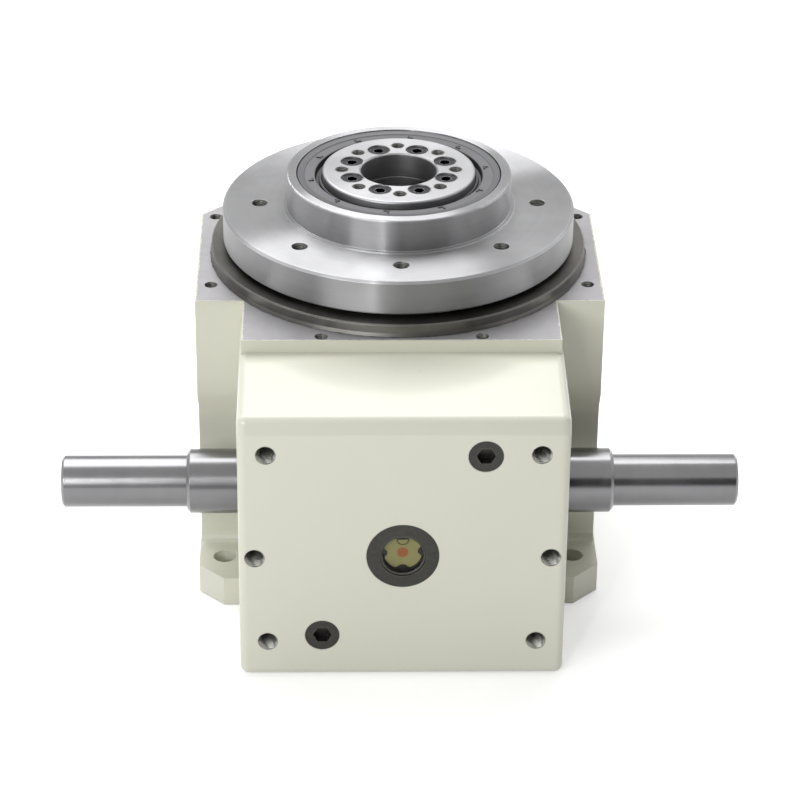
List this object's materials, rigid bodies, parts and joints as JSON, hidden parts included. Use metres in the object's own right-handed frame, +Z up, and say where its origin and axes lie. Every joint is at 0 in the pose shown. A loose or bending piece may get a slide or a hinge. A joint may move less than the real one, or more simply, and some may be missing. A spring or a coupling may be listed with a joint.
{
  "type": "globoidal cam indexer",
  "caption": "Cam indexing drive: a rotary table with a hollow hub on a cast housing, turned in steps by a globoidal cam on a through input shaft.",
  "frame": {"origin": "on the table's axis at the plane of the machined base", "axes": "+Z up along the table's axis, +X along the input shaft, -Y towards the front of the cam box"},
  "size_m": [0.4152, 0.3211, 0.247],
  "materials": {
    "cream_enamel": "gloss enamel",
    "table_steel": "turned and ground",
    "flange_steel": "turned and ground",
    "dark_ground_steel": "ground",
    "shaft_steel": "ground",
    "bearing_steel": "polished",
    "cam_steel": "ground and hardened",
    "spring_steel": "blued",
    "post_iron": "machined",
    "bright_screws": "plated",
    "black_screws": "black oxide",
    "black_oxide": "black oxide",
    "seal_rubber": "moulded",
    "clear_glass": "clear",
    "reflector_enamel": "satin enamel"
  },
  "bodies": {
    "housing": {"housing_casting": "cream_enamel", "retainer_ring": "dark_ground_steel", "retainer_screws": "black_screws", "table_seal": "seal_rubber", "main_bearing_outer_ring": "bearing_steel", "centre_post": "post_iron", "centre_flange": "flange_steel", "centre_flange_screws": "bright_screws", "post_screws": "black_screws", "left_shaft_seal": "seal_rubber", "right_shaft_seal": "seal_rubber", "left_bearing_cup": "bearing_steel", "right_bearing_cup": "bearing_steel", "left_snap_ring": "spring_steel", "right_snap_ring": "spring_steel", "fill_plug": "black_oxide", "drain_plug": "black_oxide", "sight_glass_body": "black_oxide", "sight_glass_window": "clear_glass", "sight_glass_reflector": "reflector_enamel", "sight_glass_gasket": "seal_rubber"},
    "output": {"output_table": "table_steel", "turret": "cam_steel", "turret_screws": "black_screws", "cam_follower_studs": "bearing_steel", "cam_follower_rollers": "bearing_steel", "main_bearing_inner_ring": "bearing_steel", "main_bearing_rollers_rising": "bearing_steel", "main_bearing_rollers_falling": "bearing_steel", "hub_seal": "seal_rubber"},
    "input": {"input_shaft": "shaft_steel", "globoidal_cam": "cam_steel", "cam_key": "cam_steel", "left_bearing_cone": "bearing_steel", "right_bearing_cone": "bearing_steel", "left_bearing_rollers": "bearing_steel", "right_bearing_rollers": "bearing_steel", "left_spacer_sleeve": "cam_steel", "right_spacer_sleeve": "cam_steel"}
  },
  "joints": [
    {"name": "output_spin", "type": "hinge", "parent": "housing", "child": "output", "pos_m": [0, 0, 0], "axis": [0, 0, 1], "continuous": true},
    {"name": "input_spin", "type": "hinge", "parent": "housing", "child": "input", "pos_m": [0, -0.11, 0.087], "axis": [1, 0, 0], "continuous": true}
  ],
  "couplings": [
    {"joint": "input_spin", "follows": "output_spin", "ratio": 8}
  ]
}
